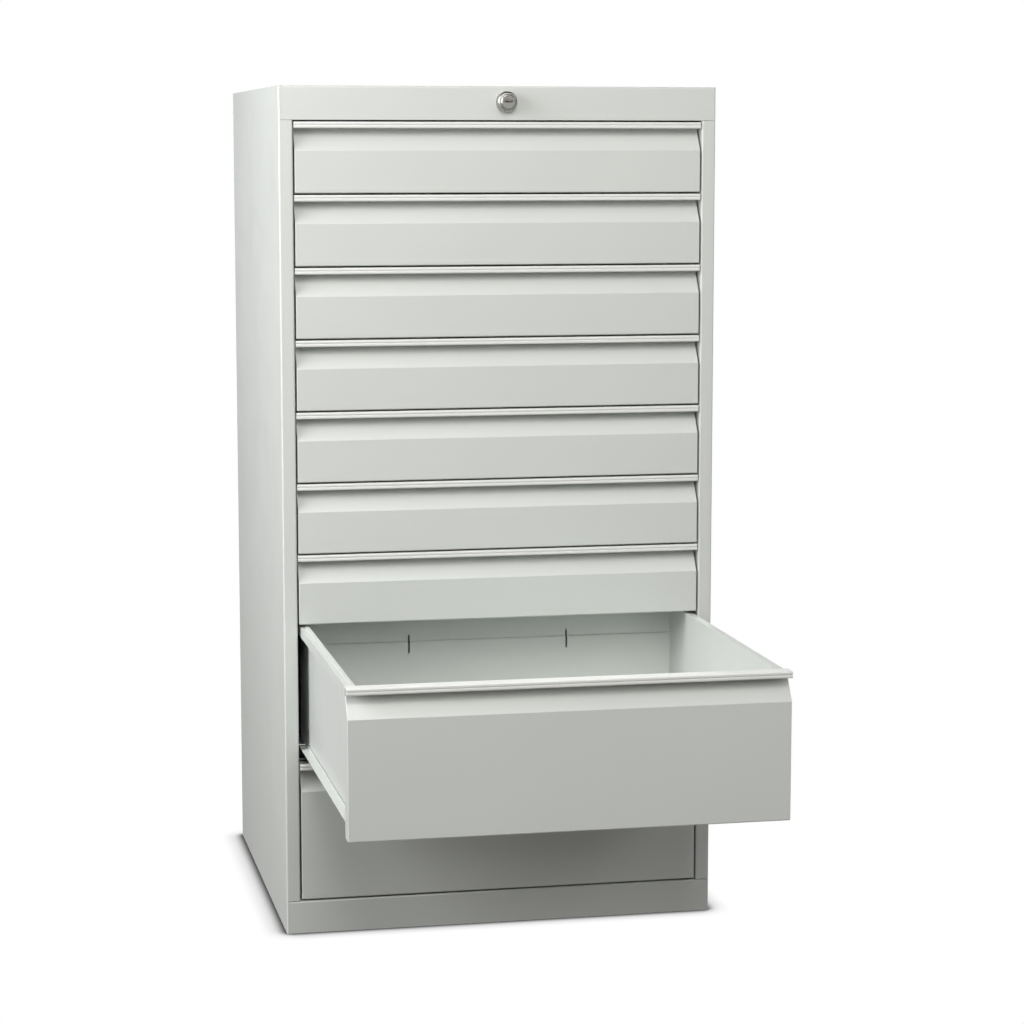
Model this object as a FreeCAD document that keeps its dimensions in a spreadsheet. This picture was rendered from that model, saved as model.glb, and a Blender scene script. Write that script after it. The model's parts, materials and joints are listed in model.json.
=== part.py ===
import FreeCAD, Part
import math
import os
import Sketcher
from FreeCAD import Placement, Rotation, Vector

# A sheet-steel drawer cabinet: seven shallow drawers over two deep ones, on roller runners, with one lock.
# Frame: X to the right, Y from the front of the carcass to its back, Z up from the floor, in millimetres.
# The origin is the middle of the plinth's front bottom edge.

# Driving dimensions: name, millimetres, and what it is.
SIZES = [
    ("cabinet_width", 520, "outside of one side panel to the outside of the other"),
    ("cabinet_depth", 490, "front face of the carcass to its back"),
    ("plinth_height", 39, "floor to the base panel's top"),
    ("apron_height", 39, "height of the fold over the top drawer"),
    ("shallow_pitch", 84, "height that one shallow drawer takes"),
    ("deep_pitch", 166, "height that one deep drawer takes"),
    ("steel", 1.0, "sheet of the carcass and the fronts"),
    ("bend_radius", 2.0, "outside radius of the carcass folds"),
    ("stile_width", 16.5, "side panel's fold, seen from the front"),
    ("stile_return", 45, "inner return of the stiles, front to back"),
    ("corner_strip", 2.5, "what is left of the stile beside the apron and plinth"),
    ("seam_gap", 0.4, "seam between a stile's cut end and the apron or plinth"),
    ("skirt_return", 18, "inward fold along the apron's and plinth's lower edge"),
    ("side_flange", 20, "top and base panels' flanges along the sides"),
    ("back_fold", 18, "forward folds round the back panel"),
    ("drawer_gap", 2.0, "gap between a front and its neighbours"),
    ("recess_height", 33, "front's top edge to the fold under the finger recess"),
    ("recess_top", 9, "front's top edge to the upper end of the recess's slope"),
    ("recess_depth", 16, "how far the recess goes back"),
    ("front_thickness", 20, "front's face to its back edge"),
    ("front_return", 15, "bottom fold of a front"),
    ("front_bend", 1.6, "outside radius of a front's folds"),
    ("front_edge", 0.8, "outside radius of a front's folded ends"),
    ("nose_height", 7.5, "handle strip's nose"),
    ("nose_depth", 4.2, "handle strip's nose, front to back"),
    ("nose_rounding", 1.4, "radius of the nose's edges"),
    ("nose_groove", 1.5, "height of the groove along the nose"),
    ("strip_plate", 1.2, "handle strip's top plate and rear leg"),
    ("strip_leg", 11, "rear leg of the handle strip, downward"),
    ("strip_overhang", 0.8, "handle strip past the front's end"),
    ("tray_steel", 0.8, "sheet of the trays"),
    ("tray_inset", 11, "front's end to the tray's side wall"),
    ("rear_room", 25, "back of a tray to the back of the cabinet"),
    ("tray_floor_rise", 3, "bottom of a drawer's space to its floor's underside"),
    ("rim_drop", 1.0, "front's top edge to the tray's rim"),
    ("rim_width", 9.5, "rim's outward fold"),
    ("rim_bead", 4.3, "doubled part of the rim, from the inside of the wall"),
    ("rim_lip", 12, "rim's downward lip"),
    ("rail_upstand", 4.0, "running flange's upturned inner edge, from the flange's underside"),
    ("rail_gap", 0.6, "upturned edge to the tray's wall"),
    ("back_step_drop", 35, "rim to the step across the tray's back wall"),
    ("back_step", 1.5, "how far the lower back wall stands forward"),
    ("slot_drop", 28, "rim to the divider slots' top"),
    ("slot_height", 22, "divider slot"),
    ("slot_width", 2, "divider slot"),
    ("slot_spacing", 196, "middle of one divider slot to the other"),
    ("travel_clearance", 0.3, "gap between a roller and what runs over it"),
    ("runner_steel", 1.2, "sheet of the runner channels"),
    ("runner_rise", 0.2, "bottom of a drawer's space to its runner channel"),
    ("runner_width", 11, "runner channel, across the cabinet"),
    ("runner_front", 24, "front of the carcass to the runner channel"),
    ("runner_rear_gap", 22, "back end of the runner channel to the back of the cabinet"),
    ("front_roller_radius", 7.0, "roller on the cabinet, under the tray's flange"),
    ("rear_roller_radius", 7.7, "roller on the tray, inside the channel"),
    ("roller_width", 6.0, "both kinds of roller"),
    ("front_roller_setback", 35, "front of the carcass to the front roller's middle"),
    ("rear_roller_setback", 10, "back of the tray to the rear roller's middle"),
    ("axle_radius", 2.5, "roller pins and axles"),
    ("axle_fit", 0.06, "roller bore over its axle, on the radius"),
    ("axle_head", 4.0, "radius of an axle's head and shoulder"),
    ("head_thickness", 1.0, "head of an axle or pin"),
    ("roller_play", 0.3, "roller's end play, each side"),
    ("shoulder_length", 1.8, "tray wall to the rear roller's inner face, less its play"),
    ("tongue_width", 24, "catch tongue at the back of a tray"),
    ("tongue_length", 10, "catch tongue, behind the tray"),
    ("tongue_rise", 30, "bottom of a drawer's space to the tongue"),
    ("stop_gap", 5.3, "rear roller to the front roller, with a drawer pulled out fully"),
    ("opening_left", 15, "how much further the open drawer could come out"),
    ("lock_offset", 7, "middle of the cabinet to the lock's, to the right"),
    ("lock_drop", 18, "cabinet's top to the lock's middle"),
    ("lock_body_radius", 9.0, "lock's threaded body"),
    ("lock_hole_fit", 0.3, "hole in the apron over the lock's body, on the radius"),
    ("lock_body_length", 24, "behind the apron's face"),
    ("collar_radius", 12.5, "lock's domed collar"),
    ("crown_radius", 9.6, "flat front of the collar"),
    ("collar_height", 9.5, "collar in front of the apron"),
    ("collar_rim", 1.5, "straight edge of the collar, under its dome"),
    ("core_radius", 7.2, "lock's plug, inside the housing"),
    ("core_head_radius", 8.7, "head of the plug, in front of the collar"),
    ("core_head_edge", 0.8, "chamfer round the plug's face"),
    ("core_reach", 13.5, "face of the plug in front of the apron"),
    ("core_head_gap", 0.3, "collar to the plug's head"),
    ("core_fit", 0.05, "housing's bore over the plug, on the radius"),
    ("key_slot_length", 9, "key slot"),
    ("key_slot_height", 1.8, "key slot"),
    ("key_slot_depth", 9, "key slot"),
    ("nut_flats", 24, "across the flats of the lock's nut"),
    ("nut_thickness", 3, "lock's nut"),
    ("shaft_radius", 4, "lock shaft from the plug to the crank"),
    ("shaft_end_gap", 15, "back of the cabinet to the end of the lock shaft"),
    ("crank_radius", 6, "lock shaft's middle to the crank pin's middle"),
    ("crank_plate", 3, "thickness of the crank"),
    ("crank_pin_radius", 2, "crank pin"),
    ("bar_width", 20, "lock bar"),
    ("bar_thickness", 2, "lock bar"),
    ("bar_gap", 2, "crank to the lock bar"),
    ("bar_end", 22, "lock bar's lower end above the base panel"),
    ("bar_top", 12, "lock bar's upper end under the cabinet's top, unlocked"),
    ("tab_height", 14, "tab on the lock bar"),
    ("tab_clearance", 0.5, "locked tab above the catch tongue"),
    ("pin_slot_play", 0.4, "crank pin in its slot, above and below"),
    ("guide_play", 0.4, "lock bar in its guides"),
    ("guide_steel", 1.5, "sheet of the guides and the shaft's bracket"),
    ("guide_height", 30, "guide along the lock bar"),
    ("guide_ear", 12, "guide's ear on the back panel"),
    ("bracket_width", 26, "shaft's bracket"),
    ("bracket_setback", 60, "back of the cabinet to the shaft's bracket"),
]

SHALLOW_DRAWERS = 7
DEEP_DRAWERS = 2
OPEN_DRAWERS = [8]  # numbered from the top down
NUT_SIDES = 6
LEFT, RIGHT = -1, 1
CUT_MARGIN = 1.0  # how far a cutting sketch reaches past the sheet that it cuts
CLOSE = 1e-4
SHEET = "Sizes"


class Size:
    """A length that keeps its number together with the spreadsheet expression that gives it."""

    def __init__(self, number, text):
        self.number = float(number)
        self.text = text

    def __add__(self, other):
        other = as_size(other)
        return Size(self.number + other.number, f"({self.text} + {other.text})")

    def __sub__(self, other):
        other = as_size(other)
        return Size(self.number - other.number, f"({self.text} - {other.text})")

    def __mul__(self, other):
        other = as_size(other)
        return Size(self.number * other.number, f"({self.text} * {other.text})")

    def __truediv__(self, other):
        other = as_size(other)
        return Size(self.number / other.number, f"({self.text} / {other.text})")

    def __neg__(self):
        return Size(0, "0") - self

    __radd__ = __add__

    def __rsub__(self, other):
        return as_size(other) - self

    __rmul__ = __mul__


def as_size(value):
    """A Size from a Size or a plain number."""
    if isinstance(value, Size):
        return value
    return Size(value, f"({float(value)!r})")


def root(size):
    """The square root of a Size."""
    return Size(math.sqrt(size.number), f"sqrt({size.text})")


class Sizes:
    """The spreadsheet, whose named cells read as attributes."""

    def __init__(self, doc):
        sheet = doc.addObject("Spreadsheet::Sheet", SHEET)
        for row, (name, number, meaning) in enumerate(SIZES, 1):
            sheet.set(f"A{row}", name)
            sheet.set(f"B{row}", str(number))
            sheet.set(f"C{row}", meaning)
            sheet.setAlias(f"B{row}", name)
            setattr(self, name, Size(number, f"{SHEET}.{name}"))
        doc.recompute()


doc = FreeCAD.newDocument("drawer_cabinet")
s = Sizes(doc)
subparts = []

# Levels and faces that several pieces share.
half_gap = s.drawer_gap / 2
deep_base = s.plinth_height + half_gap
shallow_base = deep_base + DEEP_DRAWERS * s.deep_pitch
apron_bottom = shallow_base + SHALLOW_DRAWERS * s.shallow_pitch + half_gap
cabinet_height = apron_bottom + s.apron_height
wall_face = s.cabinet_width / 2
stile_edge = wall_face - s.stile_width
strip_edge = wall_face - s.corner_strip
front_half = stile_edge - s.drawer_gap
tray_wall = front_half - s.tray_inset
rim_edge = tray_wall + s.rim_width
tray_back = s.cabinet_depth - s.rear_room
runner_tip = stile_edge - s.runner_width
runner_web = stile_edge - s.runner_steel
front_roller_height = s.runner_rise + s.runner_steel + s.travel_clearance + s.front_roller_radius
rear_roller_height = s.runner_rise + s.runner_steel + s.travel_clearance + s.rear_roller_radius
flange_height = front_roller_height + s.front_roller_radius + s.travel_clearance
channel_top = rear_roller_height + s.rear_roller_radius + 2 * s.travel_clearance + s.runner_steel
rear_roller_place = tray_back - s.rear_roller_setback
drawer_travel = (
    rear_roller_place - s.rear_roller_radius - s.stop_gap - s.front_roller_setback - s.front_roller_radius
)
lock_height = cabinet_height - s.lock_drop
shaft_end = s.cabinet_depth - s.shaft_end_gap
bar_front = shaft_end + s.crank_plate + s.bar_gap
crank_reach = s.crank_radius * math.sqrt(0.5)
bar_travel = 2 * crank_reach

# Each kind of drawer: name, bottom of the lowest one, height that each takes, how many.
LEVELS = [
    ("deep", deep_base, s.deep_pitch, DEEP_DRAWERS),
    ("shallow", shallow_base, s.shallow_pitch, SHALLOW_DRAWERS),
]


def bind(feature, prop, size):
    """Ties a property to the spreadsheet expression of a size."""
    feature.setExpression(prop, as_size(size).text)


def origin_part(body, role):
    """One of a body's own origin planes or axes."""
    return next(part for part in body.Origin.OriginFeatures if part.Role == role)


def new_body(label):
    """A body that is one sub-part of the cabinet."""
    body = doc.addObject("PartDesign::Body", label)
    body.Label = label
    body.AllowCompound = True
    return body


def new_sketch(body, name, role, offset):
    """An empty sketch on one of the body's origin planes, moved along the plane's normal."""
    sketch = body.newObject("Sketcher::SketchObject", f"{body.Name}_{name}")
    sketch.AttachmentSupport = [(origin_part(body, role), "")]
    sketch.MapMode = "FlatFace"
    offset = as_size(offset)
    sketch.AttachmentOffset = Placement(Vector(0, 0, offset.number), Rotation())
    bind(sketch, ".AttachmentOffset.Base.z", offset)
    return sketch


def hold(sketch, kind, *place, size):
    """Adds one dimension to a sketch and ties it to its size."""
    size = as_size(size)
    index = sketch.addConstraint(Sketcher.Constraint(kind, *place, size.number))
    if SHEET in size.text:
        sketch.setExpression(f"Constraints[{index}]", size.text)


def add_outline(sketch, points):
    """A closed outline through (across, up) points, each held by its distances from the sketch's origin."""
    points = [(as_size(across), as_size(up)) for across, up in points]
    corners = [Vector(across.number, up.number, 0) for across, up in points]
    first = sketch.GeometryCount
    count = len(points)
    for i in range(count):
        sketch.addGeometry(Part.LineSegment(corners[i], corners[(i + 1) % count]))
    for i in range(count):
        sketch.addConstraint(Sketcher.Constraint("Coincident", first + i, 2, first + (i + 1) % count, 1))
    for i, (across, up) in enumerate(points):
        hold(sketch, "DistanceX", -1, 1, first + i, 1, size=across)
        hold(sketch, "DistanceY", -1, 1, first + i, 1, size=up)


def add_box(sketch, across, up):
    """A rectangle from its two spans."""
    add_outline(sketch, [(across[0], up[0]), (across[1], up[0]), (across[1], up[1]), (across[0], up[1])])


def add_circle(sketch, across, up, radius):
    """A circle held by its middle and radius."""
    across, up, radius = as_size(across), as_size(up), as_size(radius)
    middle = Vector(across.number, up.number, 0)
    index = sketch.addGeometry(Part.Circle(middle, Vector(0, 0, 1), radius.number))
    hold(sketch, "DistanceX", -1, 1, index, 3, size=across)
    hold(sketch, "DistanceY", -1, 1, index, 3, size=up)
    hold(sketch, "Radius", index, size=radius)


def finish_feature(body, feature):
    """Makes a feature the body's tip and works it out."""
    body.Tip = feature
    doc.recompute()
    return feature


def pad(body, name, sketch, length, both_ways=False, backwards=False):
    """Thickens a sketch along its normal."""
    feature = body.newObject("PartDesign::Pad", f"{body.Name}_{name}")
    feature.Profile = sketch
    feature.Midplane = both_ways
    feature.Reversed = backwards
    bind(feature, "Length", length)
    return finish_feature(body, feature)


def pocket(body, name, sketch, length, both_ways=False, backwards=False):
    """Cuts a sketch out of the body, against the sketch's normal unless backwards."""
    before = body.Shape.Volume
    feature = body.newObject("PartDesign::Pocket", f"{body.Name}_{name}")
    feature.Profile = sketch
    feature.Midplane = both_ways
    feature.Reversed = backwards
    bind(feature, "Length", length)
    finish_feature(body, feature)
    if body.Shape.Volume > before - CLOSE:
        raise RuntimeError(f"{feature.Name} cuts nothing")
    return feature


def mirror(body, name="mirror"):
    """Doubles the whole body across the cabinet's middle."""
    feature = body.newObject("PartDesign::Mirrored", f"{body.Name}_{name}")
    feature.TransformMode = "Whole shape"
    feature.MirrorPlane = (origin_part(body, "YZ_Plane"), [""])
    return finish_feature(body, feature)


def stack(body, name, features, pitch, count):
    """Repeats features upward, one for each drawer."""
    feature = body.newObject("PartDesign::LinearPattern", f"{body.Name}_{name}")
    feature.Originals = features
    feature.Direction = (origin_part(body, "Z_Axis"), [""])
    feature.Occurrences = count
    bind(feature, "Length", pitch * (count - 1))
    return finish_feature(body, feature)


def bend(body, name, axis, corners, radius):
    """Rounds the straight edges along an axis (0, 1 or 2) through each pair of coordinates in corners."""
    others = [i for i in range(3) if i != axis]
    places = [[as_size(value).number for value in corner] for corner in corners]
    edges = []
    for number, edge in enumerate(body.Shape.Edges, 1):
        ends = [[vertex.Point[i] for i in others] for vertex in edge.Vertexes]
        if len(ends) == 2 and any(math.dist(end, place) < CLOSE for place in places for end in ends):
            if math.dist(*ends) < CLOSE:
                edges.append(f"Edge{number}")
    if len(edges) < len(corners):
        raise RuntimeError(f"{body.Name}_{name} finds {len(edges)} edges for {len(corners)} corners")
    base = body.Tip
    feature = body.newObject("PartDesign::Fillet", f"{body.Name}_{name}")
    feature.Base = (base, edges)
    bind(feature, "Radius", radius)
    return finish_feature(body, feature)


def clone(template, label, height, depth=0):
    """A sub-part that copies a template body and stands at its own place."""
    body = new_body(label)
    copy = body.newObject("PartDesign::FeatureBase", f"{label}_shape")
    copy.BaseFeature = template
    body.Tip = copy
    bind(body, ".Placement.Base.y", depth)
    bind(body, ".Placement.Base.z", height)
    subparts.append(body)
    return body


def side_panel(label, side):
    """Wall folded at both ends into a stile with a deep inner return, cut away behind the apron and plinth."""
    body = new_body(label)
    inner = wall_face - s.steel
    ret = stile_edge + s.steel
    back = s.cabinet_depth
    section = new_sketch(body, "section", "XY_Plane", 0)
    outline = [
        (wall_face, 0),
        (wall_face, back),
        (stile_edge, back),
        (stile_edge, back - s.stile_return),
        (ret, back - s.stile_return),
        (ret, back - s.steel),
        (inner, back - s.steel),
        (inner, s.steel),
        (ret, s.steel),
        (ret, s.stile_return),
        (stile_edge, s.stile_return),
        (stile_edge, 0),
    ]
    add_outline(section, [(side * across, up) for across, up in outline])
    pad(body, "wall", section, cabinet_height)
    outside = [(wall_face, 0), (wall_face, back), (stile_edge, 0), (stile_edge, back)]
    inside = [(inner, s.steel), (inner, back - s.steel), (ret, s.steel), (ret, back - s.steel)]
    bend(body, "outer_bends", 2, [(side * x, y) for x, y in outside], s.bend_radius)
    bend(body, "inner_bends", 2, [(side * x, y) for x, y in inside], s.bend_radius - s.steel)
    notches = new_sketch(body, "notches", "YZ_Plane", side * strip_edge)
    behind_stile = s.stile_return + CUT_MARGIN
    for near, far in ((-CUT_MARGIN, behind_stile), (back - behind_stile, back + CUT_MARGIN)):
        add_box(notches, (near, far), (-CUT_MARGIN, s.plinth_height + s.seam_gap))
        add_box(notches, (near, far), (apron_bottom - s.seam_gap, cabinet_height + CUT_MARGIN))
    pocket(body, "notch", notches, s.stile_width, backwards=side == LEFT)
    subparts.append(body)


def cover(label, top, bottom):
    """A sheet with side flanges and a skirt folded down in front and behind, each with an inward return."""
    body = new_body(label)
    back = s.cabinet_depth
    section = new_sketch(body, "section", "YZ_Plane", 0)
    outline = [
        (s.skirt_return, bottom),
        (0, bottom),
        (0, top),
        (back, top),
        (back, bottom),
        (back - s.skirt_return, bottom),
        (back - s.skirt_return, bottom + s.steel),
        (back - s.steel, bottom + s.steel),
        (back - s.steel, top - s.steel),
        (s.steel, top - s.steel),
        (s.steel, bottom + s.steel),
        (s.skirt_return, bottom + s.steel),
    ]
    add_outline(section, outline)
    pad(body, "sheet", section, 2 * strip_edge, both_ways=True)
    bend(body, "outer_bends", 0, [(0, top), (back, top)], s.bend_radius)
    inside = [(s.steel, top - s.steel), (back - s.steel, top - s.steel)]
    bend(body, "inner_bends", 0, inside, s.bend_radius - s.steel)
    flange = new_sketch(body, "flange_section", "XZ_Plane", s.corner_strip - back)
    inner = wall_face - s.steel
    outline = [
        (strip_edge - s.steel, top),
        (inner, top),
        (inner, top - s.side_flange),
        (inner - s.steel, top - s.side_flange),
        (inner - s.steel, top - s.steel),
        (strip_edge - s.steel, top - s.steel),
    ]
    add_outline(flange, outline)
    pad(body, "flange", flange, back - 2 * s.corner_strip)
    mirror(body)
    subparts.append(body)
    return body


def top_panel():
    """Top sheet with the apron, bored for the lock."""
    body = cover("top_panel", cabinet_height, apron_bottom)
    hole = new_sketch(body, "lock_hole", "XZ_Plane", CUT_MARGIN)
    add_circle(hole, s.lock_offset, lock_height, s.lock_body_radius + s.lock_hole_fit)
    pocket(body, "lock_bore", hole, 2 * CUT_MARGIN + s.steel)
    bar_window(body)


def bar_window(body):
    """Cuts the window that the lock bar passes through, where the top and back panels' folds meet."""
    window = new_sketch(body, "window_shape", "XY_Plane", apron_bottom + s.steel + CUT_MARGIN)
    half = s.bar_width / 2 + s.bar_gap
    across = (s.lock_offset - half, s.lock_offset + half)
    add_box(window, across, (bar_front - s.bar_gap, bar_front + s.bar_thickness + s.bar_gap))
    pocket(body, "window", window, 2 * (s.steel + CUT_MARGIN))


def back_panel():
    """Sheet that fills the carcass's back opening, with a forward fold along each edge."""
    body = new_body("back_panel")
    face = s.cabinet_depth
    blank = new_sketch(body, "blank", "XZ_Plane", -face)
    add_box(blank, (-stile_edge, stile_edge), (s.plinth_height, apron_bottom))
    pad(body, "block", blank, s.back_fold)
    hollow = new_sketch(body, "hollow", "XZ_Plane", s.steel - face)
    inner = stile_edge - s.steel
    add_box(hollow, (-inner, inner), (s.plinth_height + s.steel, apron_bottom - s.steel))
    pocket(body, "inside", hollow, s.back_fold, backwards=True)
    bar_window(body)
    subparts.append(body)


def front(label, pitch):
    """Folded drawer front: flat face, slope back under the handle strip, bottom return and closed ends."""
    body = new_body(label)
    top = pitch - half_gap - s.strip_plate
    low = half_gap
    fold = pitch - half_gap - s.recess_height
    upper = pitch - half_gap - s.recess_top
    rise = upper - fold
    lean = s.steel * root(rise * rise + s.recess_depth * s.recess_depth) / rise
    shift = (lean - s.steel) * rise / s.recess_depth
    section = new_sketch(body, "section", "YZ_Plane", -CUT_MARGIN)
    outline = [
        (s.front_return, low),
        (0, low),
        (0, fold),
        (s.recess_depth, upper),
        (s.recess_depth, top),
        (s.recess_depth + s.steel, top),
        (s.recess_depth + s.steel, upper - shift),
        (s.steel, fold - shift),
        (s.steel, low + s.steel),
        (s.front_return, low + s.steel),
    ]
    add_outline(section, outline)
    pad(body, "skin", section, front_half + CUT_MARGIN)
    outside = [(0, low), (0, fold), (s.recess_depth + s.steel, upper - shift)]
    bend(body, "outer_bends", 0, outside, s.front_bend)
    inside = [(s.steel, low + s.steel), (s.steel, fold - shift), (s.recess_depth, upper)]
    bend(body, "inner_bends", 0, inside, s.front_bend - s.steel)
    end = new_sketch(body, "end_shape", "YZ_Plane", front_half - s.steel)
    leg = s.recess_depth + s.steel
    leg_bottom = top - s.strip_leg - CUT_MARGIN
    outline = [
        (s.steel / 2, low + s.steel / 2),
        (s.steel / 2, fold - shift / 2),
        (s.recess_depth + s.steel / 2, upper - shift / 2),
        (s.recess_depth + s.steel / 2, top),
        (leg, top),
        (leg, leg_bottom),
        (s.front_thickness, leg_bottom),
        (s.front_thickness, low + s.steel / 2),
    ]
    add_outline(end, outline)
    pad(body, "end_plate", end, s.steel)
    bend(body, "end_fold", 2, [(front_half, 0)], s.front_edge)
    mirror(body)
    return body


def handle_strip(label):
    """Strip along a front's top edge: rounded nose with a groove, top plate, and a leg behind the front."""
    body = new_body(label)
    top = -half_gap
    under = top - s.strip_plate
    nose_bottom = top - s.nose_height
    groove_top = top - (s.nose_height - s.nose_groove) / 2
    groove_bottom = groove_top - s.nose_groove
    leg = s.recess_depth + s.steel
    section = new_sketch(body, "section", "YZ_Plane", 0)
    outline = [
        (0, nose_bottom),
        (0, groove_bottom),
        (s.nose_groove / 2, groove_bottom),
        (s.nose_groove / 2, groove_top),
        (0, groove_top),
        (0, top),
        (leg + s.strip_plate, top),
        (leg + s.strip_plate, under - s.strip_leg),
        (leg, under - s.strip_leg),
        (leg, under),
        (s.nose_depth, under),
        (s.nose_depth, nose_bottom),
    ]
    add_outline(section, outline)
    pad(body, "strip", section, 2 * (front_half + s.strip_overhang), both_ways=True)
    bend(body, "nose", 0, [(0, nose_bottom), (0, top), (s.nose_depth, nose_bottom)], s.nose_rounding)
    return body


def tray(label, pitch):
    """Open box with rims folded outward, side flanges to run on, and slots and a catch tongue at the back."""
    body = new_body(label)
    top = pitch - half_gap - s.rim_drop
    low = s.tray_floor_rise
    sheet = s.tray_steel
    inner = tray_wall - sheet
    bead = inner + s.rim_bead
    upstand = tray_wall + s.rail_gap

    wall = new_sketch(body, "side_section", "XZ_Plane", -tray_back)
    outline = [
        (inner, low),
        (tray_wall, low),
        (tray_wall, flange_height),
        (rim_edge, flange_height),
        (rim_edge, flange_height + sheet),
        (upstand + sheet, flange_height + sheet),
        (upstand + sheet, flange_height + s.rail_upstand),
        (upstand, flange_height + s.rail_upstand),
        (upstand, flange_height + sheet),
        (tray_wall, flange_height + sheet),
        (tray_wall, top - 2 * sheet),
        (rim_edge - sheet, top - 2 * sheet),
        (rim_edge - sheet, top - s.rim_lip),
        (rim_edge, top - s.rim_lip),
        (rim_edge, top - sheet),
        (bead, top - sheet),
        (bead, top),
        (inner, top),
    ]
    add_outline(wall, outline)
    pad(body, "side", wall, tray_back - s.front_thickness)
    notch = new_sketch(body, "roller_notch", "XZ_Plane", -tray_back - CUT_MARGIN)
    notch_span = (flange_height - CUT_MARGIN, flange_height + s.rail_upstand + CUT_MARGIN)
    add_box(notch, (tray_wall, rim_edge + CUT_MARGIN), notch_span)
    pocket(body, "roller_room", notch, 2 * s.rear_roller_setback + CUT_MARGIN, backwards=True)
    axle(body, rear_roller_place, rear_roller_height, tray_wall, s.shoulder_length, RIGHT)

    floor = new_sketch(body, "floor_shape", "XY_Plane", low)
    add_box(floor, (-CUT_MARGIN, tray_wall), (s.front_thickness, tray_back))
    pad(body, "floor", floor, sheet)
    face = new_sketch(body, "face_shape", "XZ_Plane", -s.front_thickness - sheet)
    add_box(face, (-CUT_MARGIN, front_half), (low, top))
    pad(body, "face", face, sheet)
    rear = new_sketch(body, "rear_section", "YZ_Plane", -CUT_MARGIN)
    step = top - s.back_step_drop
    near = tray_back - s.back_step
    outline = [
        (near, low),
        (near, step - s.back_step),
        (tray_back, step),
        (tray_back, top),
        (tray_back - sheet, top),
        (tray_back - sheet, step),
        (near - sheet, step - s.back_step),
        (near - sheet, low),
    ]
    add_outline(rear, outline)
    pad(body, "rear", rear, inner + 2 * CUT_MARGIN)
    slot = new_sketch(body, "slot_shape", "XZ_Plane", -near + 2 * CUT_MARGIN)
    middle = s.slot_spacing / 2
    slot_top = top - s.slot_drop
    half = s.slot_width / 2
    add_box(slot, (middle - half, middle + half), (slot_top - s.slot_height, slot_top))
    pocket(body, "slot", slot, s.back_step + 4 * CUT_MARGIN)
    tongue = new_sketch(body, "tongue_shape", "XY_Plane", s.tongue_rise)
    add_box(tongue, (-CUT_MARGIN, s.tongue_width / 2), (near - sheet / 2, tray_back + s.tongue_length))
    pad(body, "tongue", tongue, sheet)
    mirror(body)
    return body


def axle(body, depth, height, seat, shoulder, outward):
    """A headed axle that stands out from a face, with a shoulder that spaces its roller."""
    lengths = [
        ("shoulder", s.axle_head, 0, shoulder),
        ("axle", s.axle_radius, shoulder, s.roller_width + 2 * s.roller_play),
        ("head", s.axle_head, shoulder + s.roller_width + 2 * s.roller_play, s.head_thickness),
    ]
    features = []
    for name, radius, start, length in lengths:
        circle = new_sketch(body, f"{name}_{len(body.Group)}", "YZ_Plane", seat + outward * as_size(start))
        add_circle(circle, depth, height, radius)
        features.append(pad(body, f"{name}_{len(body.Group)}", circle, length, backwards=outward < 0))
    return features


def rollers(label, radius, depth, height, inner_face):
    """A pair of plain rollers, one at each side."""
    body = new_body(label)
    ring = new_sketch(body, "ring", "YZ_Plane", inner_face)
    add_circle(ring, depth, height, radius)
    add_circle(ring, depth, height, s.axle_radius + s.axle_fit)
    pad(body, "tread", ring, s.roller_width)
    mirror(body)
    return body


def runner_channels(label, side):
    """One side's runner channels, open toward the drawers, spot-welded to the stiles' returns."""
    body = new_body(label)
    for name, base, pitch, count in LEVELS:
        low = base + s.runner_rise
        top = base + channel_top
        section = new_sketch(body, f"{name}_section", "XZ_Plane", -s.runner_front)
        outline = [
            (stile_edge, low),
            (stile_edge, top),
            (runner_tip, top),
            (runner_tip, top - s.runner_steel),
            (runner_web, top - s.runner_steel),
            (runner_web, low + s.runner_steel),
            (runner_tip, low + s.runner_steel),
            (runner_tip, low),
        ]
        add_outline(section, [(side * across, up) for across, up in outline])
        length = s.cabinet_depth - s.runner_rear_gap - s.runner_front
        channel = pad(body, f"{name}_channel", section, length, backwards=True)
        stack(body, f"{name}_stack", [channel], pitch, count)
    subparts.append(body)


def front_roller_pins():
    """Headed pins riveted into the channels' webs, which carry the front rollers."""
    body = new_body("front_roller_pins")
    for name, base, pitch, count in LEVELS:
        height = base + front_roller_height
        features = axle(body, s.front_roller_setback, height, runner_web, s.head_thickness, LEFT)
        stack(body, f"{name}_stack", features, pitch, count)
    mirror(body)
    subparts.append(body)


def turn(body, outline):
    """Turns a half section of (radius, depth) points about the lock's axis."""
    section = new_sketch(body, "section", "XY_Plane", lock_height)
    add_outline(section, outline)
    turned = body.newObject("PartDesign::Revolution", f"{body.Name}_turned")
    turned.Profile = section
    turned.ReferenceAxis = (section, ["V_Axis"])
    turned.Angle = 360
    finish_feature(body, turned)


def add_lock_part(body):
    """Moves a piece of the lock, drawn at the cabinet's middle, to the lock's own place, and lists it."""
    bind(body, ".Placement.Base.x", s.lock_offset)
    subparts.append(body)


def lock_housing():
    """Lock body through the apron, with a domed collar in front."""
    body = new_body("lock_housing")
    bore = s.core_radius + s.core_fit
    dome = s.collar_radius - s.crown_radius
    dome_height = s.collar_height - s.collar_rim
    shoulder = math.sqrt(0.5)  # share of the dome's width and height where its steep side ends
    outline = [
        (bore, s.lock_body_length),
        (s.lock_body_radius, s.lock_body_length),
        (s.lock_body_radius, 0),
        (s.collar_radius, 0),
        (s.collar_radius, -s.collar_rim),
        (s.crown_radius + dome * shoulder, -s.collar_rim - dome_height * shoulder),
        (s.crown_radius, -s.collar_height),
        (bore, -s.collar_height),
    ]
    turn(body, outline)
    add_lock_part(body)


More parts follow.
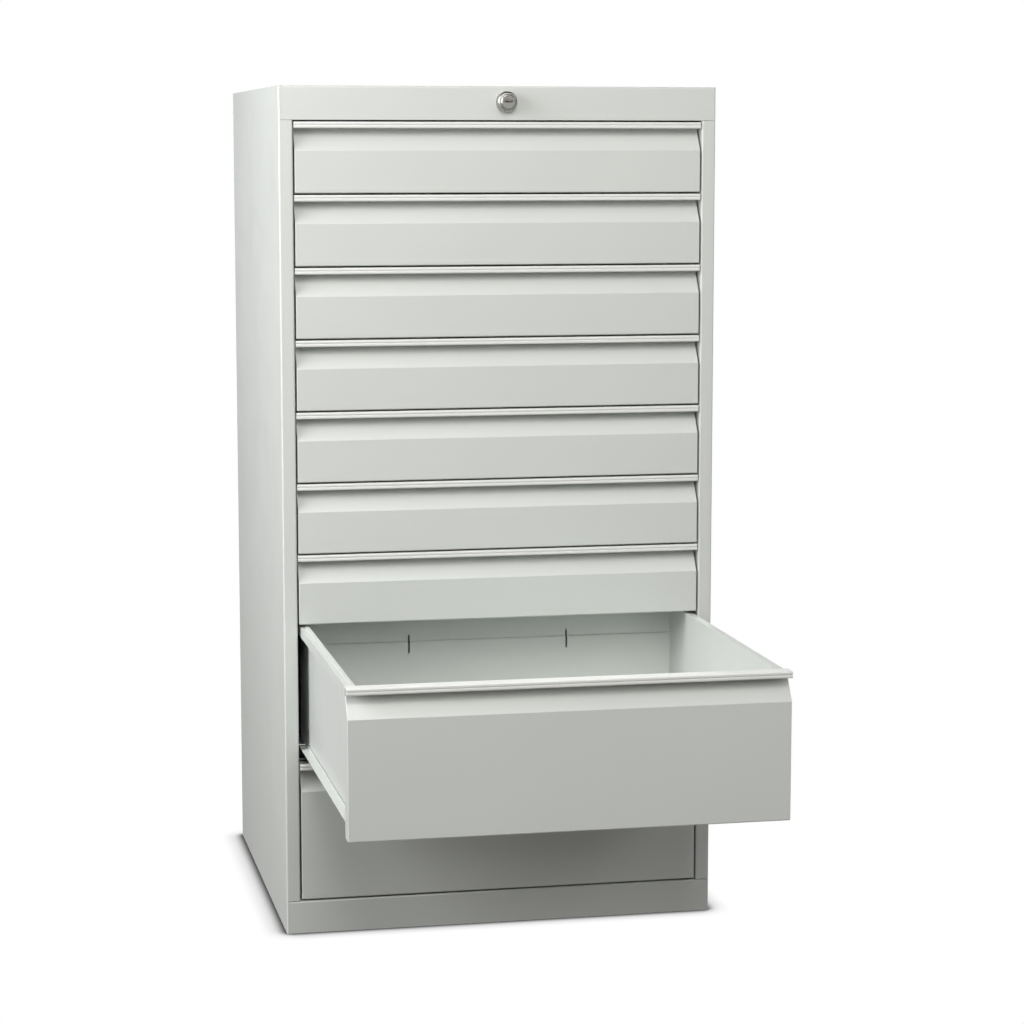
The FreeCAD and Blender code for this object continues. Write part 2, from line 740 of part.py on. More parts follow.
def lock_nut():
    """Hexagonal nut that holds the lock from behind the apron."""
    body = new_body("lock_nut")
    nut = new_sketch(body, "nut_shape", "XZ_Plane", -s.steel)
    corner = s.nut_flats / math.sqrt(3)
    turns = [2 * math.pi * i / NUT_SIDES for i in range(NUT_SIDES)]
    add_outline(nut, [(corner * math.cos(turn), lock_height + corner * math.sin(turn)) for turn in turns])
    add_circle(nut, 0, lock_height, s.lock_body_radius + s.core_fit)
    pad(body, "nut", nut, s.nut_thickness, backwards=True)
    add_lock_part(body)


def lock_core():
    """Round plug with a wider head in front of the collar and a horizontal key slot."""
    body = new_body("lock_core")
    behind_head = -s.collar_height - s.core_head_gap
    outline = [
        (0, s.lock_body_length),
        (s.core_radius, s.lock_body_length),
        (s.core_radius, behind_head),
        (s.core_head_radius, behind_head),
        (s.core_head_radius, s.core_head_edge - s.core_reach),
        (s.core_head_radius - s.core_head_edge, -s.core_reach),
        (0, -s.core_reach),
    ]
    turn(body, outline)
    slot = new_sketch(body, "slot", "XZ_Plane", s.core_reach + CUT_MARGIN)
    half_length, half_height = s.key_slot_length / 2, s.key_slot_height / 2
    add_box(slot, (-half_length, half_length), (lock_height - half_height, lock_height + half_height))
    pocket(body, "key_slot", slot, s.key_slot_depth + CUT_MARGIN)
    add_lock_part(body)


def lock_shaft():
    """Rod from the plug to the crank at the back."""
    body = new_body("lock_shaft")
    disc = new_sketch(body, "disc", "XZ_Plane", -s.lock_body_length)
    add_circle(disc, 0, lock_height, s.shaft_radius)
    pad(body, "rod", disc, shaft_end - s.lock_body_length, backwards=True)
    add_lock_part(body)


def lock_crank():
    """Crank plate on the shaft's end, with the pin that moves the lock bar; unlocked, it is up and right."""
    body = new_body("lock_crank")
    plate = new_sketch(body, "plate_shape", "XZ_Plane", -shaft_end)
    add_circle(plate, 0, lock_height, s.crank_radius + 2 * s.crank_pin_radius)
    pad(body, "plate", plate, s.crank_plate, backwards=True)
    pin = new_sketch(body, "pin_shape", "XZ_Plane", -shaft_end - s.crank_plate)
    add_circle(pin, crank_reach, lock_height + crank_reach, s.crank_pin_radius)
    pad(body, "pin", pin, s.bar_gap + 2 * s.bar_thickness, backwards=True)
    add_lock_part(body)


def lock_bar():
    """Flat bar up the back, with a slot for the crank pin and a tab over each tray's tongue, unlocked."""
    body = new_body("lock_bar")
    half = s.bar_width / 2
    blank = new_sketch(body, "blank", "XZ_Plane", -bar_front)
    add_box(blank, (-half, half), (s.plinth_height + s.bar_end, cabinet_height - s.bar_top + bar_travel / 2))
    pad(body, "bar", blank, s.bar_thickness, backwards=True)
    slot = new_sketch(body, "slot", "XZ_Plane", -bar_front + CUT_MARGIN)
    reach = s.crank_pin_radius + s.pin_slot_play
    middle = lock_height + crank_reach
    add_box(slot, (crank_reach - reach, s.crank_radius + reach), (middle - reach, middle + reach))
    pocket(body, "pin_slot", slot, s.bar_thickness + 2 * CUT_MARGIN)
    for name, base, pitch, count in LEVELS:
        low = base + s.tongue_rise + s.tray_steel + s.tab_clearance + bar_travel
        tab = new_sketch(body, f"{name}_tab_shape", "YZ_Plane", -half)
        add_box(tab, (tray_back + 2 * s.bar_gap, bar_front), (low, low + s.tab_height))
        feature = pad(body, f"{name}_tab", tab, s.bar_thickness)
        stack(body, f"{name}_tabs", [feature], pitch, count)
    add_lock_part(body)


def lock_brackets():
    """Guides that hold the lock bar to the back panel, and the hanging bracket that carries the shaft."""
    body = new_body("lock_brackets")
    inner_back = s.cabinet_depth - s.steel
    half = s.bar_width / 2 + s.guide_play
    outer = half + s.guide_steel
    inside = bar_front - s.guide_play
    ear = outer + s.guide_ear
    levels = [
        ("lower", deep_base + s.deep_pitch / 2),
        ("middle", shallow_base + s.shallow_pitch / 2),
        ("upper", shallow_base + (SHALLOW_DRAWERS - 2) * s.shallow_pitch + s.shallow_pitch / 2),
    ]
    for name, height in levels:
        guide = new_sketch(body, f"{name}_section", "XY_Plane", height + s.tab_height)
        outline = [
            (ear, inner_back),
            (ear, inner_back - s.guide_steel),
            (outer, inner_back - s.guide_steel),
            (outer, inside - s.guide_steel),
            (-outer, inside - s.guide_steel),
            (-outer, inner_back - s.guide_steel),
            (-ear, inner_back - s.guide_steel),
            (-ear, inner_back),
            (-half, inner_back),
            (-half, inside),
            (half, inside),
            (half, inner_back),
        ]
        add_outline(guide, outline)
        pad(body, f"{name}_guide", guide, s.guide_height)
    place = s.cabinet_depth - s.bracket_setback
    side = s.bracket_width / 2
    hanger = new_sketch(body, "hanger_shape", "XZ_Plane", -place)
    under_top = cabinet_height - s.steel
    add_box(hanger, (-side, side), (lock_height - side, under_top))
    add_circle(hanger, 0, lock_height, s.shaft_radius + s.core_fit)
    pad(body, "hanger", hanger, s.guide_steel, backwards=True)
    foot = new_sketch(body, "foot_shape", "XY_Plane", under_top)
    add_box(foot, (-side, side), (place, place + s.bracket_width / 2))
    pad(body, "foot", foot, s.guide_steel, backwards=True)
    add_lock_part(body)


def drawers():
    """Nine drawers from the top down; each is a tray, a front, a handle strip and two pairs of rollers."""
    trays = {"shallow": tray("shallow_tray", s.shallow_pitch), "deep": tray("deep_tray", s.deep_pitch)}
    fronts = {"shallow": front("shallow_front", s.shallow_pitch), "deep": front("deep_front", s.deep_pitch)}
    strip = handle_strip("handle_strip")
    rear_face = tray_wall + s.shoulder_length + s.roller_play
    front_face = runner_web - s.head_thickness - s.roller_play - s.roller_width
    rear_pair = rollers(
        "rear_roller_pair", s.rear_roller_radius, rear_roller_place, rear_roller_height, rear_face
    )
    front_pair = rollers(
        "front_roller_pair", s.front_roller_radius, s.front_roller_setback, front_roller_height, front_face
    )
    number = 0
    for kind, base, pitch, count in reversed(LEVELS):
        for level in reversed(range(count)):
            number += 1
            height = base + level * pitch
            pulled = s.opening_left - drawer_travel if number in OPEN_DRAWERS else 0
            name = f"drawer_{number}"
            clone(trays[kind], f"{name}_tray", height, pulled)
            clone(fronts[kind], f"{name}_front", height, pulled)
            clone(strip, f"{name}_handle", height + pitch, pulled)
            clone(rear_pair, f"{name}_rear_rollers", height, pulled)
            clone(front_pair, f"{name}_front_rollers", height)


def check_and_export():
    """Stops at a failed object or an unsound shape, then writes one file for each sub-part."""
    doc.recompute()
    for thing in doc.Objects:
        if "Invalid" in thing.State or "Error" in thing.State:
            raise RuntimeError(f"{thing.Label} is {thing.State}")
    os.makedirs("parts", exist_ok=True)
    for body in subparts:
        if body.Shape.isNull() or not body.Shape.isValid():
            raise RuntimeError(f"{body.Label} has no sound shape")
        body.Shape.exportStep(f"parts/{body.Label}.step")
    print(len(subparts), "sub-parts,", sum(len(body.Shape.Solids) for body in subparts), "solids")


side_panel("side_panel_left", LEFT)
side_panel("side_panel_right", RIGHT)
top_panel()
cover("base_panel", s.plinth_height, as_size(0))
back_panel()
runner_channels("runner_channels_left", LEFT)
runner_channels("runner_channels_right", RIGHT)
front_roller_pins()
drawers()
lock_housing()
lock_nut()
lock_core()
lock_shaft()
lock_crank()
lock_bar()
lock_brackets()
check_and_export()
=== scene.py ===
"""Looks of a sheet-steel drawer cabinet: powder coat, plating, lock, weld marks, studio and camera."""
import json
import math

import bmesh
import bpy
from mathutils import Matrix, Vector


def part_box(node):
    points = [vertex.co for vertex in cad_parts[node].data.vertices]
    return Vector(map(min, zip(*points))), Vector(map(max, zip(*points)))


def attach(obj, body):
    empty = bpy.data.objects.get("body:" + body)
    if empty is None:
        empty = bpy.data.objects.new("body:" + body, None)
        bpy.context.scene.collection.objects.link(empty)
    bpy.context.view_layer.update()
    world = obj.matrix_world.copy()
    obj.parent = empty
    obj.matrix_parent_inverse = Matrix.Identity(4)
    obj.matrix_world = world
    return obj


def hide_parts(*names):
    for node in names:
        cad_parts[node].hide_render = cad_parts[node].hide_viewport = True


MILLIMETRE = 0.001
DRAWERS = range(1, 10)

# The camera, fitted to the cabinet's corners and the gaps between its drawers.
PHOTO_SIDE = 1024  # pixels
FOCAL_PIXELS = 2744
SENSOR_WIDTH = 36.0  # millimetres
CAMERA_PLACE = (-0.645, -3.164, 0.929)
CAMERA_YAW = 11.76  # degrees to the right of straight in
CAMERA_TILT = -7.56  # degrees, downward

# The lamps: name, place and size in metres, power in watts, and colour. They all look at one point.
WARM = (1.0, 0.98, 0.95)
NEUTRAL = (1.0, 1.0, 1.0)
LAMPS = [
    ("side_light", (-1.6, -0.1, 1.5), 1.0, 24, NEUTRAL),
    ("side_low_light", (-1.6, -0.6, 1.2), 1.0, 19, NEUTRAL),
    ("side_top_light", (-1.5, 0.0, 2.4), 1.0, 3, NEUTRAL),
    ("front_top_light", (-0.3, -2.6, 2.6), 1.5, 45, WARM),
    ("top_light", (-0.2, -1.4, 3.0), 2.0, 4.5, WARM),
    ("front_low_light", (-0.3, -3.0, 1.5), 1.0, 16.5, WARM),
    ("fill_light", (1.8, -1.8, 2.4), 1.5, 17.5, NEUTRAL),
    ("back_light", (2.6, 2.4, 2.0), 1.5, 140, NEUTRAL),
]
LAMP_TARGET = (0, 0, 0.6)
NO_GLARE = "back_light"  # this lamp isn't mirrored in the cabinet

# The floor and the surroundings, whose light comes from below and fades out across the horizon.
FLOOR_RADIUS = 40.0
SHADOW_REACHES = (0.030, 0.014, 0.010, 0.006)  # how far each layer of the contact shadow goes, in metres
SHADOW_SAMPLES = 8
SKY_STRENGTH = 0.0  # from above, only the lamps give light
GROUND_STRENGTH = 0.31
HORIZON = 0.25  # the light fades between this far below and this far above the horizon
AIR_COLOUR = (1.0, 0.975, 0.935)
BACKGROUND = (1.0, 1.0, 1.0)

# Two tones of each finish; its surface drifts between them.
PAINT_TONES = ((0.605, 0.628, 0.606), (0.590, 0.614, 0.594))
# The handles' tones are lighter than the paint: partly a paler strip, partly painted highlight for the
# light their rounded nose catches from above.
HANDLE_PALE_AND_HIGHLIT_TONES = ((0.725, 0.735, 0.72), (0.71, 0.72, 0.705))
ZINC_TONES = ((0.60, 0.61, 0.62), (0.50, 0.51, 0.53))
NYLON_TONES = ((0.030, 0.030, 0.032), (0.045, 0.045, 0.047))
NICKEL_TONES = ((0.50, 0.50, 0.485), (0.42, 0.42, 0.405))
# The brass tones are darker than brass: partly dull brass, partly painted shade of the key slot the
# wafers sit in.
DULL_AND_SHADED_BRASS_TONES = ((0.20, 0.16, 0.09), (0.14, 0.11, 0.07))
NOISE_MIDDLE = (0.3, 0.7)  # nearly all of a noise's values lie in this span

# Rounding of edges.
EDGE_ROUNDING = 0.25 * MILLIMETRE
LOCK_ROUNDING = 0.1 * MILLIMETRE
WAFER_ROUNDING = 0.08 * MILLIMETRE
ROUNDING_STEPS = 2
CORNER_ANGLE = 40  # degrees; a sharper corner than this gets rounded
FLAT_ANGLE = 0.5  # degrees; faces that lean less than this against each other become one
MERGE_DISTANCE = 0.01 * MILLIMETRE

# The lock's turned parts.
LOCK_SEGMENTS = 72
DOME_STEPS = 12
BORE_RADIUS = 7.25 * MILLIMETRE
CROWN_RADIUS = 9.6 * MILLIMETRE  # the collar's dome falls away from here
COLLAR_RIM = 1.5 * MILLIMETRE  # the collar's straight edge
COLLAR_CHAMFER = 0.5 * MILLIMETRE
THREAD_RADIUS = 9.0 * MILLIMETRE
THREAD_START = 2.5 * MILLIMETRE  # the least distance from the collar's back to the thread
THREAD_PITCH = 1.5 * MILLIMETRE
THREAD_DEPTH = 0.7 * MILLIMETRE
CREST_END = 0.2  # shares of the pitch at which the crest ends and the root lies
THREAD_ROOT = 0.6
WAFER_COUNT = 4
FIRST_WAFER = 4.5 * MILLIMETRE  # behind the plug's face
WAFER_PITCH = 1.4 * MILLIMETRE
WAFER_WIDTH = 6.0 * MILLIMETRE
WAFER_THICKNESS = 0.7 * MILLIMETRE
WAFER_REACH = (0.1 * MILLIMETRE, 0.4 * MILLIMETRE, 0.25 * MILLIMETRE)  # top edges, below the lock's axis
SLOT_HALF = 0.9 * MILLIMETRE  # half the key slot's height

# Weld marks. A mark's section is given in shares of its radius and height, from the rim inward.
WELD_SEGMENTS = 20
WELD_RADIUS = 2.6 * MILLIMETRE
WELD_HEIGHT = 0.12 * MILLIMETRE
WELD_SECTION = ((1, 0), (0.82, 1), (0.62, 0.7), (0.3, 0.25))
WELD_MIDDLE = 0.2  # share of the height
WELD_CORE = 0.0001 * MILLIMETRE  # the turned section stays this far from its axis
TRAY_STEEL = 0.8 * MILLIMETRE
RIM_WIDTH = 9.5 * MILLIMETRE  # the tray's rim, outside its wall
TRAY_WALL_TO_WELD = 9.0 * MILLIMETRE
DEEP_FRONT = 120 * MILLIMETRE  # a front higher than this is a deep drawer's
SHALLOW_WELDS = 2
DEEP_WELDS = 4
FIRST_WELD = 0.7  # pitches from the tray's floor to its lowest weld
SPARE_PITCHES = 0.4  # a front is this many pitches higher than it has welds
CHANNEL_STEEL = 1.2 * MILLIMETRE
CHANNEL_WELD_HEIGHT = 9.5 * MILLIMETRE  # above the bottom of the drawer's front
CHANNEL_WELD_SHARES = (0.2, 0.5, 0.85)  # of the channel's length, from its front end

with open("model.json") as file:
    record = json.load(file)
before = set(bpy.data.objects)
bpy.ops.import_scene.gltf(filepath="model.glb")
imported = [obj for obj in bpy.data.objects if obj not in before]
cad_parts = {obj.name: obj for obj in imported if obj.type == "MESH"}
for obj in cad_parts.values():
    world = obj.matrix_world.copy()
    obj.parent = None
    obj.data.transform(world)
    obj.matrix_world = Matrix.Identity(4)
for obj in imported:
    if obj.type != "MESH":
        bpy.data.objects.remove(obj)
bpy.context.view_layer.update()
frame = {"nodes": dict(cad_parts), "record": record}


# Materials

def new_material(name):
    """A material with its node tree and its principled shader."""
    material = bpy.data.materials.new(name)
    material.use_nodes = True
    return material, material.node_tree, material.node_tree.nodes["Principled BSDF"]


def add_node(tree, kind, **settings):
    """A node with some of its settings and input values."""
    node = tree.nodes.new(kind)
    for key, value in settings.items():
        if key in node.inputs:
            node.inputs[key].default_value = value
        else:
            setattr(node, key, value)
    return node


def surface_coordinates(tree, stretch=(1, 1, 1)):
    """Coordinates fixed to the object, in metres, stretched along its axes."""
    place = add_node(tree, "ShaderNodeTexCoord")
    mapping = add_node(tree, "ShaderNodeMapping", Scale=stretch)
    tree.links.new(place.outputs["Object"], mapping.inputs["Vector"])
    return mapping.outputs["Vector"]


def noise(tree, coordinates, scale, detail):
    """Noise from 0 to 1 with about `scale` features to the metre."""
    node = add_node(tree, "ShaderNodeTexNoise", Scale=scale, Detail=detail)
    tree.links.new(coordinates, node.inputs["Vector"])
    return node.outputs["Fac"]


def spread(tree, value, low=0.0, high=1.0):
    """Stretches the middle of a noise value over the span from low to high."""
    node = add_node(tree, "ShaderNodeMapRange")
    node.inputs["From Min"].default_value = NOISE_MIDDLE[0]
    node.inputs["From Max"].default_value = NOISE_MIDDLE[1]
    node.inputs["To Min"].default_value = low
    node.inputs["To Max"].default_value = high
    tree.links.new(value, node.inputs["Value"])
    return node.outputs["Result"]


def blend_tones(tree, factor, tones, shader):
    """Colours a shader between two tones."""
    node = add_node(tree, "ShaderNodeMix", data_type="RGBA")
    tone_sockets = [socket for socket in node.inputs if socket.type == "RGBA"]
    for socket, tone in zip(tone_sockets, tones):
        socket.default_value = (*tone, 1)
    tree.links.new(factor, node.inputs["Factor"])
    colour = next(socket for socket in node.outputs if socket.type == "RGBA")
    tree.links.new(colour, shader.inputs["Base Color"])


def bump(tree, height, depth, strength, under=None):
    """A normal with relief of a depth in metres, laid over the relief under it."""
    node = add_node(tree, "ShaderNodeBump", Distance=depth, Strength=strength)
    tree.links.new(height, node.inputs["Height"])
    if under is not None:
        tree.links.new(under, node.inputs["Normal"])
    return node.outputs["Normal"]


def powder_coat(name, tones):
    """Powder coat with a fine orange peel and a slight drift of tone and gloss."""
    material, tree, shader = new_material(name)
    place = surface_coordinates(tree)
    drift = spread(tree, noise(tree, place, scale=5.0, detail=3.0))
    blend_tones(tree, drift, tones, shader)
    gloss = spread(tree, noise(tree, place, scale=22.0, detail=4.0), low=0.29, high=0.36)
    tree.links.new(gloss, shader.inputs["Roughness"])
    peel = bump(tree, noise(tree, place, scale=520.0, detail=1.5), depth=0.00006, strength=0.5)
    grain = noise(tree, place, scale=2600.0, detail=1.0)
    relief = bump(tree, grain, depth=0.00001, strength=0.35, under=peel)
    tree.links.new(relief, shader.inputs["Normal"])
    return material


def zinc_plate():
    """Bright zinc plate on rolled steel: faint streaks along the rolling direction, cloudy gloss."""
    material, tree, shader = new_material("zinc_plate")
    shader.inputs["Metallic"].default_value = 1.0
    cloud = spread(tree, noise(tree, surface_coordinates(tree), scale=60.0, detail=4.0))
    blend_tones(tree, cloud, ZINC_TONES, shader)
    tree.links.new(spread(tree, cloud, low=0.30, high=0.46), shader.inputs["Roughness"])
    streaks = noise(tree, surface_coordinates(tree, stretch=(1, 0.02, 1)), scale=1800.0, detail=2.0)
    tree.links.new(bump(tree, streaks, depth=0.00002, strength=0.4), shader.inputs["Normal"])
    return material


def nylon():
    """Dark moulded nylon with a fine matte texture."""
    material, tree, shader = new_material("roller_nylon")
    place = surface_coordinates(tree)
    drift = spread(tree, noise(tree, place, scale=90.0, detail=3.0))
    blend_tones(tree, drift, NYLON_TONES, shader)
    gloss = spread(tree, noise(tree, place, scale=400.0, detail=2.0), low=0.42, high=0.55)
    tree.links.new(gloss, shader.inputs["Roughness"])
    texture = noise(tree, place, scale=1500.0, detail=2.0)
    tree.links.new(bump(tree, texture, depth=0.00002, strength=0.3), shader.inputs["Normal"])
    return material


def nickel():
    """Satin nickel plate with fine handling marks."""
    material, tree, shader = new_material("satin_nickel")
    shader.inputs["Metallic"].default_value = 1.0
    cloud = spread(tree, noise(tree, surface_coordinates(tree), scale=160.0, detail=4.0))
    blend_tones(tree, cloud, NICKEL_TONES, shader)
    tree.links.new(spread(tree, cloud, low=0.26, high=0.33), shader.inputs["Roughness"])
    marks = noise(tree, surface_coordinates(tree, stretch=(1, 1, 0.12)), scale=2400.0, detail=2.0)
    tree.links.new(bump(tree, marks, depth=0.000005, strength=0.08), shader.inputs["Normal"])
    return material


def brass():
    """Dull brass of the lock's wafers, made darker still as painted shade of the deep key slot."""
    material, tree, shader = new_material("wafer_brass_and_slot_shade")
    shader.inputs["Metallic"].default_value = 1.0
    cloud = spread(tree, noise(tree, surface_coordinates(tree), scale=900.0, detail=3.0))
    blend_tones(tree, cloud, DULL_AND_SHADED_BRASS_TONES, shader)
    tree.links.new(spread(tree, cloud, low=0.35, high=0.5), shader.inputs["Roughness"])
    return material


def studio_floor():
    """Plain pale floor with a soft contact shadow round whatever stands on it."""
    material = bpy.data.materials.new("studio_floor")
    material.use_nodes = True
    tree = material.node_tree
    tree.nodes.clear()
    light = None
    for reach in SHADOW_REACHES:
        shadow = add_node(tree, "ShaderNodeAmbientOcclusion", Distance=reach, samples=SHADOW_SAMPLES)
        if light is not None:
            tree.links.new(light, shadow.inputs["Color"])
        light = shadow.outputs["Color"]
    glow = add_node(tree, "ShaderNodeEmission")
    tree.links.new(light, glow.inputs["Color"])
    output = add_node(tree, "ShaderNodeOutputMaterial")
    tree.links.new(glow.outputs[0], output.inputs["Surface"])
    return material


# Meshes

def new_piece(name, shape, material, body):
    """An object from a bmesh that rides on a CAD body."""
    mesh = bpy.data.meshes.new(name)
    bmesh.ops.recalc_face_normals(shape, faces=shape.faces)
    shape.to_mesh(mesh)
    shape.free()
    mesh.shade_smooth()
    mesh.materials.append(material)
    piece = bpy.data.objects.new(name, mesh)
    bpy.context.scene.collection.objects.link(piece)
    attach(piece, body)
    return piece


def turn_profile(shape, profile, place, axis, segments):
    """Turns a closed profile of (radius, distance along the axis) points into a ring about an axis."""
    tilt = Vector((0, 0, 1)).rotation_difference(Vector(axis)).to_matrix()
    rings = []
    for step in range(segments):
        turn = 2 * math.pi * step / segments
        ring = []
        for radius, along in profile:
            point = Vector((radius * math.cos(turn), radius * math.sin(turn), along))
            ring.append(shape.verts.new(tilt @ point + Vector(place)))
        rings.append(ring)
    for step in range(segments):
        here, there = rings[step], rings[(step + 1) % segments]
        for i in range(len(profile)):
            j = (i + 1) % len(profile)
            shape.faces.new((here[i], there[i], there[j], here[j]))


def quarter_arc(middle, radii, steps):
    """Points on a quarter of an ellipse, from its side to its top, as (across, along) pairs."""
    points = []
    for step in range(steps + 1):
        turn = math.radians(90 * step / steps)
        points.append((middle[0] + radii[0] * math.cos(turn), middle[1] + radii[1] * math.sin(turn)))
    return points


def soften(piece, width):
    """Rounds a piece's sharp edges a little, so that they catch the light."""
    merge = piece.modifiers.new("merge", "WELD")
    merge.merge_threshold = MERGE_DISTANCE
    flat = piece.modifiers.new("flat_faces", "DECIMATE")
    flat.decimate_type = "DISSOLVE"
    flat.angle_limit = math.radians(FLAT_ANGLE)
    rounding = piece.modifiers.new("rounding", "BEVEL")
    rounding.width = width
    rounding.segments = ROUNDING_STEPS
    rounding.limit_method = "ANGLE"
    rounding.angle_limit = math.radians(CORNER_ANGLE)
    shading = piece.modifiers.new("shading", "WEIGHTED_NORMAL")
    shading.keep_sharp = True


# Studio

def soft_light(name, place, size, power, colour):
    """A square area light that looks at the cabinet."""
    data = bpy.data.lights.new(name, "AREA")
    data.size = size
    data.energy = power
    data.color = colour
    light = bpy.data.objects.new(name, data)
    light.location = place
    light.visible_glossy = name != NO_GLARE
    light.rotation_euler = (Vector(LAMP_TARGET) - Vector(place)).to_track_quat("-Z", "Y").to_euler()
    bpy.context.scene.collection.objects.link(light)


def studio_air():
    """Soft light from below, and a plain background that only the camera sees."""
    world = bpy.data.worlds.new("studio_air")
    bpy.context.scene.world = world
    world.use_nodes = True
    tree = world.node_tree
    place = add_node(tree, "ShaderNodeTexCoord")
    parts = add_node(tree, "ShaderNodeSeparateXYZ")
    tree.links.new(place.outputs["Generated"], parts.inputs[0])
    strength = add_node(tree, "ShaderNodeMapRange", interpolation_type="SMOOTHSTEP")
    strength.inputs["From Min"].default_value = -HORIZON
    strength.inputs["From Max"].default_value = HORIZON
    strength.inputs["To Min"].default_value = GROUND_STRENGTH
    strength.inputs["To Max"].default_value = SKY_STRENGTH
    tree.links.new(parts.outputs["Z"], strength.inputs["Value"])
    light = tree.nodes["Background"]
    light.inputs["Color"].default_value = (*AIR_COLOUR, 1)
    tree.links.new(strength.outputs["Result"], light.inputs["Strength"])
    seen = add_node(tree, "ShaderNodeBackground", Color=(*BACKGROUND, 1), Strength=1.0)
    path = add_node(tree, "ShaderNodeLightPath")
    mix = add_node(tree, "ShaderNodeMixShader")
    tree.links.new(path.outputs["Is Camera Ray"], mix.inputs[0])
    tree.links.new(light.outputs[0], mix.inputs[1])
    tree.links.new(seen.outputs[0], mix.inputs[2])
    tree.links.new(mix.outputs[0], tree.nodes["World Output"].inputs["Surface"])


def floor():
    """A wide round floor that throws no light back."""
    shape = bmesh.new()
    bmesh.ops.create_circle(shape, cap_ends=True, segments=96, radius=FLOOR_RADIUS)
    mesh = bpy.data.meshes.new("floor")
    shape.to_mesh(mesh)
    shape.free()
    mesh.materials.append(studio_floor())
    ground = bpy.data.objects.new("floor", mesh)
    ground.visible_diffuse = False
    ground.visible_glossy = False
    bpy.context.scene.collection.objects.link(ground)


def photo_camera():
    """Camera at the fitted place, with the fitted lens."""
    data = bpy.data.cameras.new("camera")
    data.sensor_fit = "HORIZONTAL"
    data.sensor_width = SENSOR_WIDTH
    data.lens = FOCAL_PIXELS / PHOTO_SIDE * SENSOR_WIDTH
    data.clip_start = 0.05
    data.clip_end = 200
    camera = bpy.data.objects.new("camera", data)
    camera.location = CAMERA_PLACE
    camera.rotation_euler = (math.radians(90 + CAMERA_TILT), 0, math.radians(-CAMERA_YAW))
    bpy.context.scene.collection.objects.link(camera)
    bpy.context.scene.camera = camera


# The cabinet

def lock_middle():
    """Where the lock's axis passes through the apron's face."""
    low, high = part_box("lock_housing")
    return (low.x + high.x) / 2, (low.z + high.z) / 2


def lock_bezel(material):
    """Domed collar and threaded body, turned in one piece, in place of the plain housing."""
    low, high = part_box("lock_housing")
    across, height = lock_middle()
    collar = (high.x - low.x) / 2
    profile = [(BORE_RADIUS, high.y), (THREAD_RADIUS, high.y)]
    turns = int((high.y - THREAD_START) / THREAD_PITCH)
    for turn in range(turns):
        crest = high.y - turn * THREAD_PITCH
        profile.append((THREAD_RADIUS, crest - CREST_END * THREAD_PITCH))
        profile.append((THREAD_RADIUS - THREAD_DEPTH, crest - THREAD_ROOT * THREAD_PITCH))
        profile.append((THREAD_RADIUS, crest - THREAD_PITCH))
    profile += [(THREAD_RADIUS, 0), (collar, 0)]
    dome_radii = (collar - CROWN_RADIUS, low.y + COLLAR_RIM)
    profile += quarter_arc((CROWN_RADIUS, -COLLAR_RIM), dome_radii, DOME_STEPS)
    profile.append((BORE_RADIUS + COLLAR_CHAMFER, low.y))
    profile.append((BORE_RADIUS, low.y + COLLAR_CHAMFER))
    shape = bmesh.new()
    turn_profile(shape, profile, (across, 0, height), (0, 1, 0), LOCK_SEGMENTS)
    piece = new_piece("lock_bezel", shape, material, "cabinet")
    soften(piece, LOCK_ROUNDING)
    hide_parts("lock_housing")


def lock_wafers(material):
    """Brass wafers that show inside the key slot, one behind the other."""
    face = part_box("lock_core")[0].y
    across, height = lock_middle()
    bottom = height - SLOT_HALF
    shape = bmesh.new()
    for number in range(WAFER_COUNT):
        top = height - WAFER_REACH[number % len(WAFER_REACH)]
        size = (WAFER_WIDTH, WAFER_THICKNESS, top - bottom)
        place = (across, face + FIRST_WAFER + number * WAFER_PITCH, (top + bottom) / 2)
        stretch = Matrix.Diagonal((*size, 1))
        bmesh.ops.create_cube(shape, size=1, matrix=Matrix.Translation(place) @ stretch)
    piece = new_piece("lock_wafers", shape, material, "lock_core")
    soften(piece, WAFER_ROUNDING)


def weld_marks(name, places, facing, material, body):
    """Shallow craters that spot welding leaves in the sheet."""
    shape = bmesh.new()
    profile = [(WELD_CORE, 0)]
    profile += [(across * WELD_RADIUS, up * WELD_HEIGHT) for across, up in WELD_SECTION]
    profile.append((WELD_CORE, WELD_MIDDLE * WELD_HEIGHT))
    for place in places:
        turn_profile(shape, profile, place, facing, WELD_SEGMENTS)
    new_piece(name, shape, material, body)


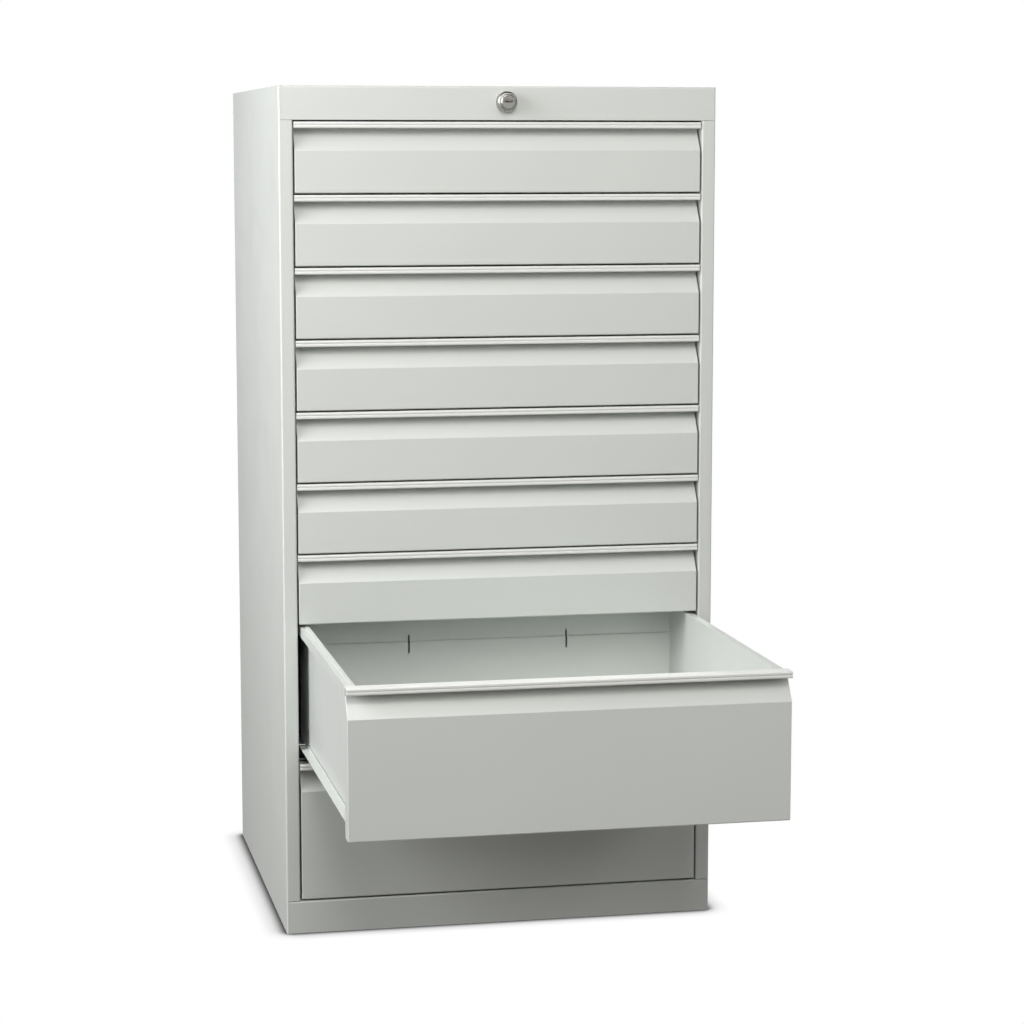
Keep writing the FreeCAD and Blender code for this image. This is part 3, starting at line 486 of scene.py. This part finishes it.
def drawer_weld_marks(number, material):
    """Weld marks inside a tray, up both ends of its front wall."""
    front_low, front_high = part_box(f"drawer_{number}_front")
    tray_low, tray_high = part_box(f"drawer_{number}_tray")
    inside = front_high.y + TRAY_STEEL
    height = front_high.z - front_low.z
    count = SHALLOW_WELDS if height < DEEP_FRONT else DEEP_WELDS
    pitch = height / (count + SPARE_PITCHES)
    edge = tray_high.x - RIM_WIDTH - TRAY_WALL_TO_WELD
    places = []
    for step in range(count):
        up = tray_low.z + (step + FIRST_WELD) * pitch
        places += [(side * edge, inside, up) for side in (-1, 1)]
    name = f"drawer_{number}_weld_marks"
    weld_marks(name, places, (0, 1, 0), material, f"drawer_{number}")


def channel_weld_marks(material):
    """Weld marks along the web of each runner channel."""
    for side, label in ((-1, "left"), (1, "right")):
        low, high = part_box(f"runner_channels_{label}")
        web = max(abs(low.x), abs(high.x)) - CHANNEL_STEEL
        places = []
        for number in DRAWERS:
            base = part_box(f"drawer_{number}_front")[0].z
            for share in CHANNEL_WELD_SHARES:
                depth = low.y + share * (high.y - low.y)
                places.append((side * web, depth, base + CHANNEL_WELD_HEIGHT))
        weld_marks(f"channel_weld_marks_{label}", places, (-side, 0, 0), material, "cabinet")


def dress_cad_nodes(finishes, handle_pale_and_highlit_finish):
    """Gives every CAD node the finish of its record slot, or the handles' lighter one that also holds
    painted highlight, and softens its edges.
    """
    slots = {row["node"]: row["material_slot"] for row in frame["record"]["subparts"]}
    for name, node in frame["nodes"].items():
        finish = handle_pale_and_highlit_finish if name.endswith("_handle") else finishes[slots[name]]
        node.data.materials.clear()
        node.data.materials.append(finish)
        soften(node, EDGE_ROUNDING)


finishes = {
    "grey_paint": powder_coat("grey_powder_coat", PAINT_TONES),
    "zinc_steel": zinc_plate(),
    "roller_nylon": nylon(),
    "nickel": nickel(),
}
# The handles get a lighter copy of the powder coat: partly a paler strip, partly painted highlight.
dress_cad_nodes(finishes, powder_coat("pale_and_highlit_powder_coat", HANDLE_PALE_AND_HIGHLIT_TONES))
lock_bezel(finishes["nickel"])
# The wafers' brass is darkened: partly dull brass, partly painted shade of the key slot.
lock_wafers(brass())
channel_weld_marks(finishes["zinc_steel"])
for drawer in DRAWERS:
    drawer_weld_marks(drawer, finishes["grey_paint"])

bpy.context.scene.view_settings.view_transform = "Standard"
studio_air()
floor()
for lamp in LAMPS:
    soft_light(*lamp)
photo_camera()
